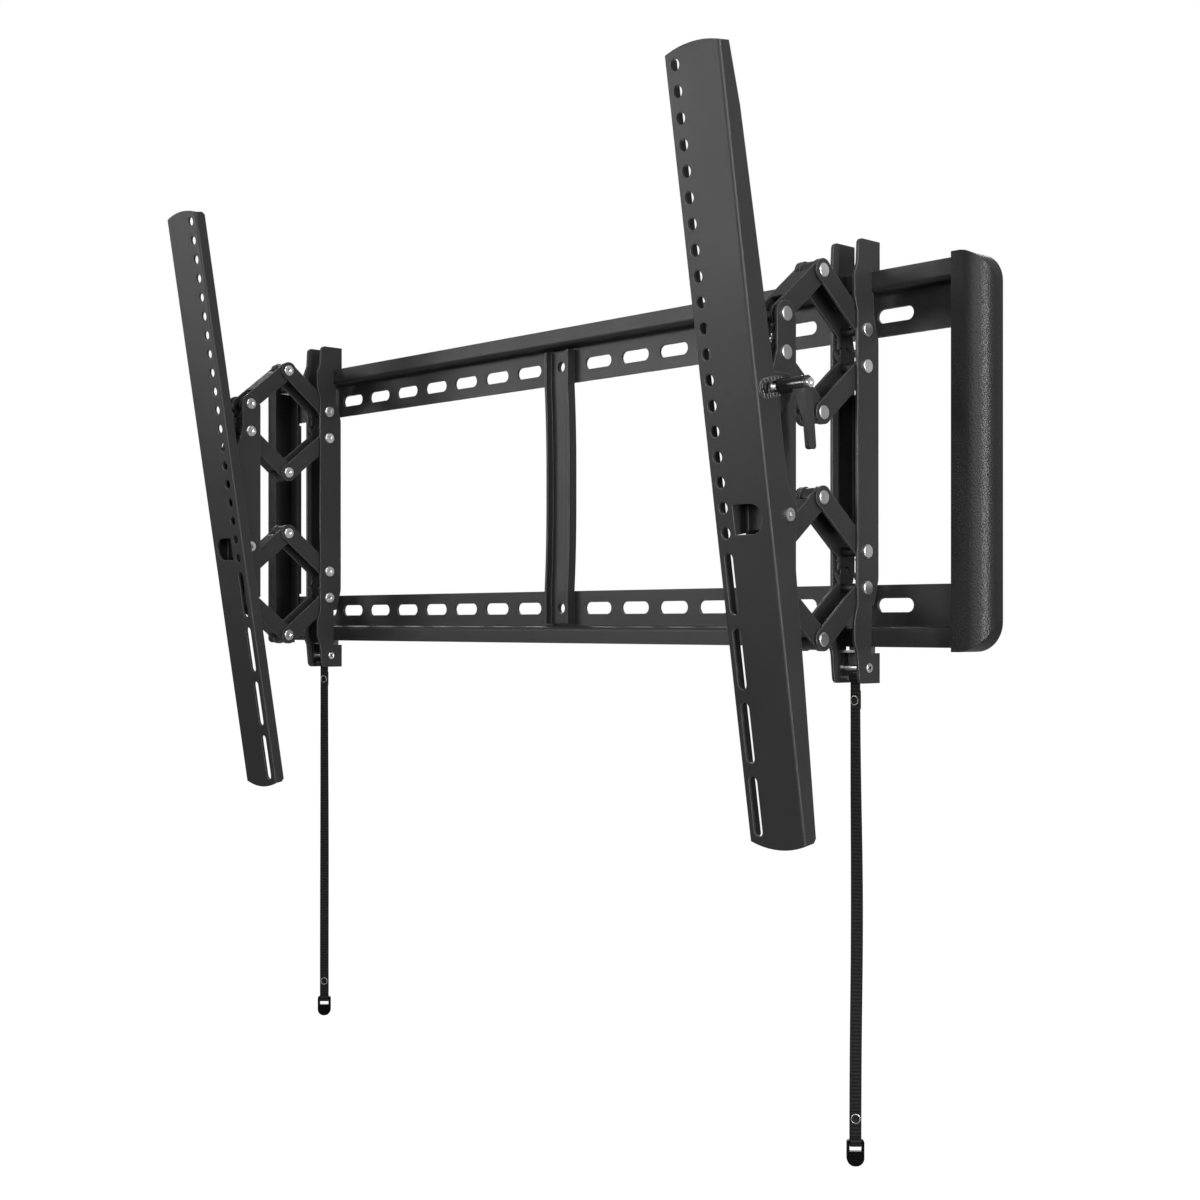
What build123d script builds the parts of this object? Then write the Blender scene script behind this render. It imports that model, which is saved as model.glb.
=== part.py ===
import os
from math import asin, cos, degrees, radians, sin
from build123d import *

os.makedirs("parts", exist_ok=True)

# Sheet thicknesses, bends and fits
SHEET = 2.5
LINK_SHEET = 2.2
BEND = 3.0
SLIDE_GAP = 0.3
PIN_GAP = 0.06
LIP_GAP = 0.5

# Wall plate, with the wall at Y = 0 and the room towards -Y
SLOT_PITCH = 50.8
SLOTS_EACH_SIDE = 8
SLOT_LENGTH = 36.5
SLOT_HEIGHT = 11.6
ROW_Z = 120.0
BAND_BELOW = 17.0
SHELF_Z = 138.0
LIP_TOP = 154.5
LIP_STAND = 18.0
RAIL_TAIL = 8.5

# Centre brace
BRACE_WIDTH = 34.0
BRACE_DEPTH = 9.5
BRACE_END = 135.5
BRACE_HOLE = 10.5
BRACE_BOW = 103.0
BRACE_FLAT = 20.0

# End uprights and end covers
UPRIGHT_SHOW = 14.0
UPRIGHT_FLANGE = 100.0
COVER_INNER = 477.5
COVER_WIDTH = 30.5
COVER_DEPTH = 26.5
COVER_HALF_HEIGHT = 157.7
COVER_WALL = 2.5
COVER_CORNER = 24.0
COVER_EDGE = 20.0
COVER_NOTCH_GAP = 0.8

# Where each side hangs, and the scissor links
SIDE_X = 381.5
PIVOT_BACK = 27.0
PIVOT_FRONT = 131.5
PAIR_MID = 91.0
PAIR_GAP = 30.0
LINK_RISE = 42.0
LINK_WIDTH = 17.5
LINK_END = 9.5
LINK_NOSE = 9.0
WEB_FROM_GEAR = 17.0
WEB_FROM_ELBOW = 14.0

# Gear teeth at the link ends
TEETH = 12
TOOTH_TIP = 17.0
TOOTH_ROOT = 12.2
TOOTH_TIP_WIDTH = 1.7
TOOTH_ROOT_WIDTH = 4.7
SECTOR_ROOM = 34.0
SECTOR_WALL = 56.0

# Pins and rivet heads
PIN = 8.0
HEAD = 11.5
HEAD_HEIGHT = 2.0
HEAD_ROUND = 0.6
DIMPLE = 5.0
DIMPLE_DEPTH = 0.8
SPACER = 13.0
ELBOW_BOSS = 17.0

# Hook bracket
HOOK_HALF = 14.3
HOOK_FRONT = 39.1
HOOK_BULGE = 43.1
HOOK_BACK = 9.8
HOOK_RISE = 25.5
HOOK_FOOT = 184.5
HOOK_WEB = 56.0
HOOK_TIP = 144.0
HOOK_CORNER = 5.0
HOOK_EASE = 10.0
HOOK_UNDERCUT = 2.0

# Foot latch and its pin
LATCH_TRAVEL = 10.0
LATCH_SHEET = 2.0
LATCH_PIN_Z = 171.7
LATCH_PIN_Y = 24.0
LATCH_PIN = 5.0
LATCH_PIN_HEAD = 8.0
LATCH_PIN_BORE = 3.0
LATCH_FRONT = 32.0
LATCH_BACK = 12.4
LATCH_TOP = 157.0
LATCH_BOTTOM = 184.0
LATCH_HOOK = 147.0
STRAP_BAR = 4.0
STRAP_BAR_Z = 180.0

# Pull strap and its end tab
STRAP_WIDTH = 10.0
STRAP_THICK = 1.4
STRAP_TURN = 45.0
TAB_TOP = 562.0
TAB_WIDTH = 14.5
TAB_HEIGHT = 22.0
TAB_THICK = 4.0
TAB_BAR = 2.5
TAB_OPENING = 7.0
TAB_ROUND = 2.5

# Tilt bracket
TILT_HALF = 16.0
TILT_BACK = 12.1
TILT_FRONT = 12.1
TILT_NOSE = 10.5
TILT_WEB_TOP = 34.0
TILT_WEB_BOTTOM = 62.0
STUD_LEAD = 11.7
STUD_RISE = 98.3
STUD_EAR = 6.5

# TV arm, drawn along its own length from the top hole
ARM_TILT = 9.278
ARM_DEPTH = 22.6
PIVOT_DOWN = 349.9
TILT_PIVOT_Y = 133.8
TILT_PIVOT_Z = 50.7
COLUMN_INSET = 9.86
ARM_INNER = 10.5
ARM_INNER_FLANGE = 12.0
ARM_TOP = 8.6
ARM_TOP_ROUND = 4.6
ARM_BOTTOM_ROUND = 5.4
SLOT_TO_FOOT = 4.1
FLANGE_TIP = 11.0
FLANGE_UPPER = 16.0
FLANGE_EASE = 48.0
FLANGE_WAIST = 22.5
FLANGE_BELOW = 25.0
FLANGE_LOWER = 20.5
FLANGE_FOOT = 14.2
EAR_DEPTH = 44.0
EAR_HALF = 9.0
HOLE = 9.5
HOLE_PITCH = 20.0
HOLE_COUNT = 19
FACE_SLOT = 9.0
FACE_SLOT_LENGTH = 49.4
HOLES_TO_SLOT = 10.95
FACE_SLOT_PITCH = 60.0
FACE_SLOTS = 4
PIVOT_EAR = 12.0
ARC_SLOT = 8.6
PAD_RIM = 3.5
PAD_RISE = 1.2
SERRATIONS = 9
SERRATION = 0.9
ARM_GAP = 0.5
TILT_PIN = 7.5
TILT_HEAD = 10.5
EYELET = 4.5
TILT_LIMIT_FRONT = 0.7

# Clamp lever
STUD = 8.0
STUD_HEAD = 13.0
HUB = 12.0
HUB_LENGTH = 27.0
HUB_BORE_LENGTH = 12.0
LEVER_GAP = 0.4
HANDLE_LENGTH = 50.0
HANDLE_TOP = 9.5
HANDLE_NECK = 33.0
HANDLE_TIP = 8.5
HANDLE_LEAN = 6.0
HANDLE_THICK = 12.5
HANDLE_TIP_THICK = 4.2
SCREW_HEAD = 7.5
SCREW_HEAD_HEIGHT = 3.0
SCREW_SHANK = 5.0
SCREW_CROSS = 1.4
SCREW_CROSS_DEPTH = 1.2

# Values that follow from the ones above
REACH = (PIVOT_FRONT - PIVOT_BACK) / 2
ELBOW_Y = -(PIVOT_BACK + REACH)
LINK_LENGTH = (REACH**2 + LINK_RISE**2) ** 0.5
LINK_ANGLE = degrees(asin(LINK_RISE / LINK_LENGTH))
COVER_OUTER = COVER_INNER + COVER_WIDTH
RAIL_END = COVER_INNER + RAIL_TAIL
UPRIGHT_INNER = COVER_INNER - UPRIGHT_SHOW
HOOK_TOP = LIP_TOP + HOOK_RISE
REAR_LINK_HALF = HOOK_HALF - SHEET - SLIDE_GAP
FRONT_LINK_HALF = REAR_LINK_HALF - LINK_SHEET - SLIDE_GAP
LIP_FRONT = LIP_STAND + SHEET
TOOTH_STEP = 360 / TEETH
ARM_OUTER_X = SIDE_X + TILT_HALF + HEAD_HEIGHT + SLIDE_GAP
TAB_INNER_X = SIDE_X - TILT_HALF - ARM_GAP
ARM_COLUMN = TAB_INNER_X - COLUMN_INSET
ARM_FACE = ARM_OUTER_X + SHEET - ARM_COLUMN
HOLES_END = HOLE_PITCH * (HOLE_COUNT - 1) + HOLE / 2
FACE_SLOT_FIRST = HOLES_END + HOLES_TO_SLOT + FACE_SLOT_LENGTH / 2
FACE_SLOT_LAST = FACE_SLOT_FIRST + FACE_SLOT_PITCH * (FACE_SLOTS - 1)
ARM_BOTTOM = FACE_SLOT_LAST + FACE_SLOT_LENGTH / 2 + SLOT_TO_FOOT
PIVOT_HEIGHTS = [
    PAIR_MID + PAIR_GAP / 2,
    PAIR_MID - PAIR_GAP / 2,
    -PAIR_MID + PAIR_GAP / 2,
    -PAIR_MID - PAIR_GAP / 2,
]


def save(piece, name):
    # One labelled file for a piece of the wall plate
    piece.label = name
    export_step(piece, f"parts/{name}.step")


def save_pair(builder, name):
    # The right piece as drawn and the left piece as its mirror image
    save(builder.part, f"right_{name}")
    with BuildPart() as left_piece:
        mirror(builder.part, about=Plane.YZ)
    save(left_piece.part, f"left_{name}")


def side_plate(offset):
    # Drawing plane across the bracket, at a distance from its middle
    return Plane.YZ.offset(SIDE_X + offset)


def polar(radius, angle):
    # Point at a radius and an angle in degrees
    return (radius * cos(radians(angle)), radius * sin(radians(angle)))


def rivet_points(half_length, radius, head_radius, head_height):
    # Half outline of a rivet along its axis, with a dimple at the peened end
    end = half_length + head_height
    return [
        (0, -end + DIMPLE_DEPTH),
        (DIMPLE / 2, -end),
        (head_radius - HEAD_ROUND, -end),
        (head_radius, -end + HEAD_ROUND),
        (head_radius, -half_length),
        (radius, -half_length),
        (radius, half_length),
        (head_radius, half_length),
        (head_radius, end - HEAD_ROUND),
        (head_radius - HEAD_ROUND, end),
        (0, end),
    ]


def rivet_plane(y, z):
    # Plane holding a rivet's axis, with local Y along X
    return Plane(origin=(SIDE_X, y, z), x_dir=(0, 1, 0), z_dir=(0, 0, -1))


# Rails: slot band on the wall, shelf out to the lip, lip standing up in front
with BuildPart() as top_rail:
    with BuildSketch(Plane.YZ.offset(-RAIL_END)):
        with BuildLine():
            FilletPolyline(
                (-SHEET / 2, ROW_Z - BAND_BELOW),
                (-SHEET / 2, SHELF_Z + SHEET / 2),
                (-LIP_STAND - SHEET / 2, SHELF_Z + SHEET / 2),
                (-LIP_STAND - SHEET / 2, LIP_TOP),
                radius=BEND,
            )
        trace(line_width=SHEET)
    extrude(amount=2 * RAIL_END)
    with BuildSketch(Plane.XZ):
        for index in range(-SLOTS_EACH_SIDE, SLOTS_EACH_SIDE + 1):
            with Locations((index * SLOT_PITCH, ROW_Z)):
                if index:
                    SlotOverall(SLOT_LENGTH, SLOT_HEIGHT)
                else:
                    Circle(BRACE_HOLE / 2)
    extrude(amount=SHEET, mode=Mode.SUBTRACT)
save(top_rail.part, "top_rail")

with BuildPart() as bottom_rail:
    mirror(top_rail.part, about=Plane.XY)
save(bottom_rail.part, "bottom_rail")


def brace_face(depth):
    # Side outline of the brace, bowed back to the wall between the rails
    with BuildSketch() as outline:
        with BuildLine():
            for shift in (-SHEET, -SHEET - depth):
                Line((shift + SHEET, BRACE_FLAT), (shift + SHEET, -BRACE_FLAT))
                for end in (1, -1):
                    bow, flat = (shift, end * BRACE_BOW), (shift + SHEET, end * BRACE_FLAT)
                    Line((shift, end * BRACE_END), bow)
                    TangentArc(flat, bow, tangent=(0, end))
            for end in (BRACE_END, -BRACE_END):
                Line((-SHEET, end), (-SHEET - depth, end))
        make_face()
    return outline.sketch


# Centre brace: a bowed channel lapped over the slot bands of both rails
with BuildPart() as center_brace:
    with BuildSketch(Plane.YZ.offset(-BRACE_WIDTH / 2)):
        add(brace_face(SHEET))
    extrude(amount=BRACE_WIDTH)
    for flange_x in (-BRACE_WIDTH / 2, BRACE_WIDTH / 2 - SHEET):
        with BuildSketch(Plane.YZ.offset(flange_x)):
            add(brace_face(BRACE_DEPTH))
        extrude(amount=SHEET)
    with BuildSketch(Plane.XZ):
        with Locations((0, ROW_Z), (0, -ROW_Z)):
            Circle(BRACE_HOLE / 2)
    extrude(amount=2 * SHEET, mode=Mode.SUBTRACT)
save(center_brace.part, "center_brace")

# End uprights: strips lapped over both slot bands, with a flange turned back between the rails
with BuildPart() as end_upright:
    with BuildSketch(Plane.XZ.offset(SHEET)):
        with Locations(((UPRIGHT_INNER + RAIL_END) / 2, 0)):
            Rectangle(RAIL_END - UPRIGHT_INNER, 2 * BRACE_END)
    extrude(amount=SHEET)
    with BuildSketch(Plane.XZ):
        with Locations((UPRIGHT_INNER + SHEET / 2, 0)):
            Rectangle(SHEET, 2 * UPRIGHT_FLANGE)
    extrude(amount=SHEET)
save_pair(end_upright, "end_upright")


def cover_form(inset):
    # An end cover's full form, drawn in by a distance: rounded at its ends and along its outer edge
    depth = COVER_DEPTH - inset
    width = COVER_WIDTH - 2 * inset
    middle = (COVER_INNER + COVER_OUTER) / 2
    with BuildPart() as form:
        with BuildSketch(Plane.XZ) as front:
            with Locations((middle, 0)):
                Rectangle(width, 2 * (COVER_HALF_HEIGHT - inset))
            fillet(front.vertices().group_by(Axis.X)[-1], COVER_CORNER - inset)
        extrude(amount=depth)
        with BuildSketch(Plane.XY.offset(-COVER_HALF_HEIGHT)) as section:
            with Locations((middle, -depth / 2)):
                Rectangle(width, depth)
            fillet(section.vertices().group_by(Axis.Y)[0].sort_by(Axis.X)[-1], COVER_EDGE - inset)
        extrude(amount=2 * COVER_HALF_HEIGHT, mode=Mode.INTERSECT)
    return form.part


# End covers: moulded caps, notched round the rails and resting on the uprights
with BuildPart() as end_cover:
    add(cover_form(0))
    add(cover_form(COVER_WALL), mode=Mode.SUBTRACT)
    notch_low = SHELF_Z - COVER_NOTCH_GAP
    notch_high = LIP_TOP + COVER_NOTCH_GAP
    with BuildSketch(Plane.YZ.offset(COVER_INNER)):
        Rectangle(4 * SHEET, 2 * notch_low)
        for rail_z in (1, -1):
            with Locations((0, rail_z * (notch_low + notch_high) / 2)):
                Rectangle(2 * (LIP_FRONT + COVER_NOTCH_GAP), notch_high - notch_low)
    extrude(amount=COVER_WALL, mode=Mode.SUBTRACT)
save_pair(end_cover, "end_cover")

# Hook bracket: two flanges that hook over the top lip and reach behind the bottom one
hook_outline = [
    (-HOOK_BACK, HOOK_TOP),
    (-HOOK_BACK, HOOK_TIP),
    (-LIP_STAND + LIP_GAP, HOOK_TIP + LIP_GAP),
    (-LIP_STAND + LIP_GAP, LIP_TOP + LIP_GAP / 2),
    (-LIP_FRONT - LIP_GAP, LIP_TOP + LIP_GAP / 2),
    (-LIP_FRONT - LIP_GAP, SHELF_Z - LIP_GAP),
    (-LIP_STAND, SHELF_Z - HOOK_UNDERCUT),
    (-LIP_STAND + LIP_GAP, ROW_Z - LIP_GAP),
    (-HOOK_BACK, ROW_Z - BAND_BELOW - HOOK_EASE),
    (-HOOK_BACK, -(ROW_Z - BAND_BELOW - HOOK_EASE)),
    (-LIP_STAND + LIP_GAP, -(ROW_Z - LIP_GAP)),
    (-LIP_FRONT - LIP_GAP, -(SHELF_Z - LIP_STAND)),
    (-LIP_FRONT - LIP_GAP, -(LIP_TOP + HOOK_CORNER)),
    (-HOOK_BACK, -(LIP_TOP + HOOK_CORNER)),
    (-HOOK_BACK, -HOOK_FOOT),
    (-HOOK_FRONT + HOOK_CORNER / 2, -HOOK_FOOT),
    (-HOOK_FRONT, -(LIP_TOP + HOOK_CORNER)),
    (-HOOK_BULGE, -(LIP_TOP - HOOK_CORNER)),
    (-HOOK_BULGE, -(SHELF_Z - HOOK_CORNER)),
    (-HOOK_FRONT, -ROW_Z),
    (-HOOK_FRONT, ROW_Z),
    (-HOOK_BULGE, SHELF_Z - HOOK_CORNER),
    (-HOOK_BULGE, LIP_TOP - HOOK_CORNER),
    (-HOOK_FRONT, LIP_TOP + HOOK_CORNER),
    (-HOOK_FRONT + HOOK_CORNER / 4, HOOK_TOP),
]
with BuildPart() as hook_bracket:
    for offset in (-HOOK_HALF, HOOK_HALF - SHEET):
        with BuildSketch(side_plate(offset)) as hook_flange:
            with BuildLine():
                Polyline(*hook_outline, close=True)
            make_face()
            corners = hook_flange.vertices()
            ends = corners.group_by(Axis.Y)[-1] + corners.group_by(Axis.Y)[0]
            fillet(ends.filter_by(lambda v: v.X < -HOOK_BACK - HOOK_CORNER), HOOK_CORNER)
        extrude(amount=SHEET)
    with BuildSketch(Plane.XY.offset(-HOOK_WEB)):
        with Locations((SIDE_X, -HOOK_BACK - SHEET / 2)):
            Rectangle(2 * HOOK_HALF, SHEET)
    extrude(amount=2 * HOOK_WEB)
    fillet(hook_bracket.edges().filter_by(Axis.Z).filter_by(
        lambda e: abs(e.center().Y + HOOK_BACK) < PIN_GAP and abs(e.center().Z) < HOOK_WEB), SHEET)
    with BuildSketch(side_plate(-HOOK_HALF)):
        for pivot_z in PIVOT_HEIGHTS:
            with Locations((-PIVOT_BACK, pivot_z)):
                Circle(PIN / 2)
        with Locations((-LATCH_PIN_Y, -LATCH_PIN_Z)):
            Circle(LATCH_PIN / 2)
    extrude(amount=2 * HOOK_HALF, mode=Mode.SUBTRACT)
save_pair(hook_bracket, "hook_bracket")

# Rear pivot rivets, fixed in the hook bracket
with BuildPart() as rear_pivot_rivets:
    for pivot_z in PIVOT_HEIGHTS:
        rivet_at = rivet_plane(-PIVOT_BACK, pivot_z)
        with BuildSketch(rivet_at):
            with BuildLine():
                Polyline(*rivet_points(HOOK_HALF, PIN / 2, HEAD / 2, HEAD_HEIGHT), close=True)
            make_face()
        revolve(axis=Axis(rivet_at.origin, rivet_at.y_dir))
save_pair(rear_pivot_rivets, "rear_pivot_rivets")


def tooth_points(angle):
    # Outline of one straight-sided tooth pointing at an angle from the pivot
    along, across = polar(1, angle), polar(1, angle + 90)
    return [
        (along[0] * r + across[0] * w, along[1] * r + across[1] * w)
        for r, w in (
            (TOOTH_ROOT - HEAD_ROUND, -TOOTH_ROOT_WIDTH / 2),
            (TOOTH_TIP, -TOOTH_TIP_WIDTH / 2),
            (TOOTH_TIP, TOOTH_TIP_WIDTH / 2),
            (TOOTH_ROOT - HEAD_ROUND, TOOTH_ROOT_WIDTH / 2),
        )
    ]


def link_face(front, up):
    # Side outline of one link from its toothed pivot to its elbow, drawn round the pivot
    toward = 1 if front else -1
    lean = up * (LINK_ANGLE if front else 180 - LINK_ANGLE)
    elbow = polar(LINK_LENGTH, lean)
    mesh = -90 * up
    room_end = mesh - up * SECTOR_ROOM * toward
    wall_end = mesh + up * SECTOR_WALL * toward
    low, high = sorted((room_end, wall_end))
    shift = 0 if up > 0 else TOOTH_STEP / 2
    with BuildSketch() as outline:
        Circle(LINK_NOSE if front else LINK_END)
        with Locations(elbow):
            Circle(LINK_END)
        with Locations((elbow[0] / 2, elbow[1] / 2)):
            Rectangle(LINK_LENGTH, LINK_WIDTH, rotation=lean)
        with BuildLine():
            Line((0, 0), polar(TOOTH_ROOT, low))
            CenterArc((0, 0), TOOTH_ROOT, low, high - low)
            Line(polar(TOOTH_ROOT, high), (0, 0))
        make_face()
        for index in range(-TEETH // 4, TEETH // 4 + 1):
            angle = mesh + shift + index * TOOTH_STEP
            if low < angle < high:
                with BuildLine():
                    Polyline(*tooth_points(angle), close=True)
                make_face()
        Circle(PIN / 2 + PIN_GAP, mode=Mode.SUBTRACT)
        with Locations(elbow):
            Circle(PIN / 2 + (PIN_GAP if front else 0), mode=Mode.SUBTRACT)
    return outline.sketch


# Links: pairs of toothed side plates joined by a web, with a boss at the elbow of each front one
for number, pivot_z in enumerate(PIVOT_HEIGHTS, start=1):
    up = 1 if number % 2 else -1
    for name, front in (("rear_link", False), ("front_link", True)):
        half = FRONT_LINK_HALF if front else REAR_LINK_HALF
        pivot_y = -PIVOT_FRONT if front else -PIVOT_BACK
        lean = up * (LINK_ANGLE if front else 180 - LINK_ANGLE)
        with BuildPart() as link:
            for offset in (-half, half - LINK_SHEET):
                plate_plane = Plane(
                    origin=(SIDE_X + offset, pivot_y, pivot_z), x_dir=(0, 1, 0), z_dir=(1, 0, 0)
                )
                with BuildSketch(plate_plane):
                    add(link_face(front, up))
                extrude(amount=LINK_SHEET)
            web_plane = Plane(
                origin=(SIDE_X - half, pivot_y, pivot_z), x_dir=(0, 1, 0), z_dir=(1, 0, 0)
            )
            web_length = LINK_LENGTH - WEB_FROM_GEAR - WEB_FROM_ELBOW
            web_mid = WEB_FROM_GEAR + web_length / 2
            web_off = (LINK_WIDTH - LINK_SHEET) / 2 * up * (1 if front else -1)
            along = polar(1, lean)
            with BuildSketch(web_plane):
                web_y = along[0] * web_mid - along[1] * web_off
                web_z = along[1] * web_mid + along[0] * web_off
                with Locations((web_y, web_z)):
                    Rectangle(web_length, LINK_SHEET, rotation=lean)
                if front:
                    with Locations((along[0] * LINK_LENGTH, along[1] * LINK_LENGTH)):
                        Circle(ELBOW_BOSS / 2)
                        Circle(PIN / 2 + PIN_GAP, mode=Mode.SUBTRACT)
            extrude(amount=2 * half)
        save_pair(link, f"{name}_{number}")

# Elbow rivets, fixed in the rear links
for number, pivot_z in enumerate(PIVOT_HEIGHTS, start=1):
    elbow_z = pivot_z + (LINK_RISE if number % 2 else -LINK_RISE)
    with BuildPart() as elbow_rivet:
        rivet_at = rivet_plane(ELBOW_Y, elbow_z)
        with BuildSketch(rivet_at):
            with BuildLine():
                Polyline(*rivet_points(REAR_LINK_HALF, PIN / 2, HEAD / 2, HEAD_HEIGHT / 2), close=True)
            make_face()
        revolve(axis=Axis(rivet_at.origin, rivet_at.y_dir))
    save_pair(elbow_rivet, f"elbow_rivet_{number}")

# Tilt bracket: the front channel, with an ear for the lever stud
stud_y = -TILT_PIVOT_Y - STUD_LEAD
stud_z = -TILT_PIVOT_Z + STUD_RISE
top_z = PIVOT_HEIGHTS[0]
foot_z = PIVOT_HEIGHTS[3]
with BuildPart() as tilt_bracket:
    for offset in (-TILT_HALF, TILT_HALF - SHEET):
        with BuildSketch(side_plate(offset)):
            with BuildLine():
                Polyline(
                    (-PIVOT_FRONT + TILT_BACK, top_z),
                    (-PIVOT_FRONT + TILT_BACK, foot_z),
                    (-PIVOT_FRONT - TILT_NOSE / 2, foot_z),
                    (-PIVOT_FRONT - TILT_NOSE, foot_z + PAIR_GAP),
                    (-PIVOT_FRONT - TILT_FRONT, -TILT_PIVOT_Z + PAIR_GAP),
                    (stud_y - STUD_EAR, stud_z - HEAD),
                    (stud_y - STUD_EAR, stud_z),
                    (-PIVOT_FRONT - TILT_NOSE, stud_z + PAIR_GAP),
                    (-PIVOT_FRONT - TILT_NOSE, top_z),
                    close=True,
                )
            make_face()
            with Locations((-PIVOT_FRONT, top_z), (-PIVOT_FRONT, foot_z)):
                Circle(TILT_NOSE)
            with Locations((stud_y, stud_z)):
                Circle(STUD_EAR)
        extrude(amount=SHEET)
    with BuildSketch(Plane.XY.offset(-TILT_WEB_BOTTOM)):
        with Locations((SIDE_X, -PIVOT_FRONT - TILT_NOSE + SHEET / 2)):
            Rectangle(2 * TILT_HALF, SHEET)
    extrude(amount=TILT_WEB_BOTTOM + TILT_WEB_TOP)
    with BuildSketch(side_plate(-TILT_HALF)):
        for pivot_z in PIVOT_HEIGHTS:
            with Locations((-PIVOT_FRONT, pivot_z)):
                Circle(PIN / 2)
        with Locations((-TILT_PIVOT_Y, -TILT_PIVOT_Z)):
            Circle(TILT_PIN / 2 + PIN_GAP)
    extrude(amount=2 * TILT_HALF, mode=Mode.SUBTRACT)
    with BuildSketch(side_plate(TILT_HALF - SHEET)):
        with Locations((stud_y, stud_z)):
            Circle(STUD / 2)
    extrude(amount=SHEET, mode=Mode.SUBTRACT)
save_pair(tilt_bracket, "tilt_bracket")

# Front pivot rivets: headed above, flush below where the arm covers them, with spacers
with BuildPart() as front_pivot_rivets:
    for pivot_z in PIVOT_HEIGHTS:
        rivet_at = rivet_plane(-PIVOT_FRONT, pivot_z)
        with BuildSketch(rivet_at):
            if pivot_z > 0:
                with BuildLine():
                    Polyline(*rivet_points(TILT_HALF, PIN / 2, HEAD / 2, HEAD_HEIGHT), close=True)
                make_face()
            else:
                with Locations((PIN / 4, 0)):
                    Rectangle(PIN / 2, 2 * TILT_HALF)
            spacer_length = TILT_HALF - SHEET - FRONT_LINK_HALF - SLIDE_GAP / 2
            for end in (1, -1):
                with Locations((SPACER / 4, end * (TILT_HALF - SHEET - spacer_length / 2))):
                    Rectangle(SPACER / 2, spacer_length)
        revolve(axis=Axis(rivet_at.origin, rivet_at.y_dir))
save_pair(front_pivot_rivets, "front_pivot_rivets")

# TV arm: face, two flanges, hole column, slots, pivot window and its tab
tilt = radians(ARM_TILT)
down = Vector(0, sin(tilt), -cos(tilt))
behind = Vector(0, cos(tilt), sin(tilt))
pivot_point = Vector(0, -TILT_PIVOT_Y, -TILT_PIVOT_Z)
arm_top = Vector(ARM_COLUMN, pivot_point.Y, pivot_point.Z) - down * PIVOT_DOWN - behind * ARM_DEPTH
face_plane = Plane(origin=arm_top, x_dir=(1, 0, 0), z_dir=-behind)
flange_plane = Plane(origin=arm_top, x_dir=behind, z_dir=(1, 0, 0))
stud_down = STUD_LEAD * -sin(tilt) - STUD_RISE * cos(tilt)
stud_depth = STUD_LEAD * -cos(tilt) + STUD_RISE * sin(tilt)
stud_radius = (STUD_LEAD**2 + STUD_RISE**2) ** 0.5
stud_angle = degrees(asin(stud_depth / stud_radius))
stud_level = -PIVOT_DOWN - stud_down
outer_flange = [
    (0, ARM_TOP),
    (FLANGE_TIP, ARM_TOP),
    (FLANGE_UPPER, ARM_TOP - FLANGE_EASE),
    (FLANGE_WAIST, stud_level + EAR_HALF + BEND),
    (EAR_DEPTH - BEND, stud_level + EAR_HALF),
    (EAR_DEPTH, stud_level),
    (EAR_DEPTH - BEND, stud_level - EAR_HALF),
    (FLANGE_BELOW, stud_level - 2 * EAR_HALF - BEND),
    (FLANGE_BELOW, -PIVOT_DOWN + 2 * PIVOT_EAR),
    (ARM_DEPTH + PIVOT_EAR - BEND, -PIVOT_DOWN + PIVOT_EAR - BEND),
    (ARM_DEPTH + PIVOT_EAR, -PIVOT_DOWN),
    (ARM_DEPTH + PIVOT_EAR - BEND, -PIVOT_DOWN - PIVOT_EAR + BEND),
    (FLANGE_BELOW, -PIVOT_DOWN - 2 * PIVOT_EAR),
    (FLANGE_LOWER, -(PIVOT_DOWN + ARM_BOTTOM) / 2),
    (FLANGE_FOOT, -ARM_BOTTOM + BEND),
    (FLANGE_TIP, -ARM_BOTTOM),
    (0, -ARM_BOTTOM),
]
window_left = TAB_INNER_X - ARM_COLUMN
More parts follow.
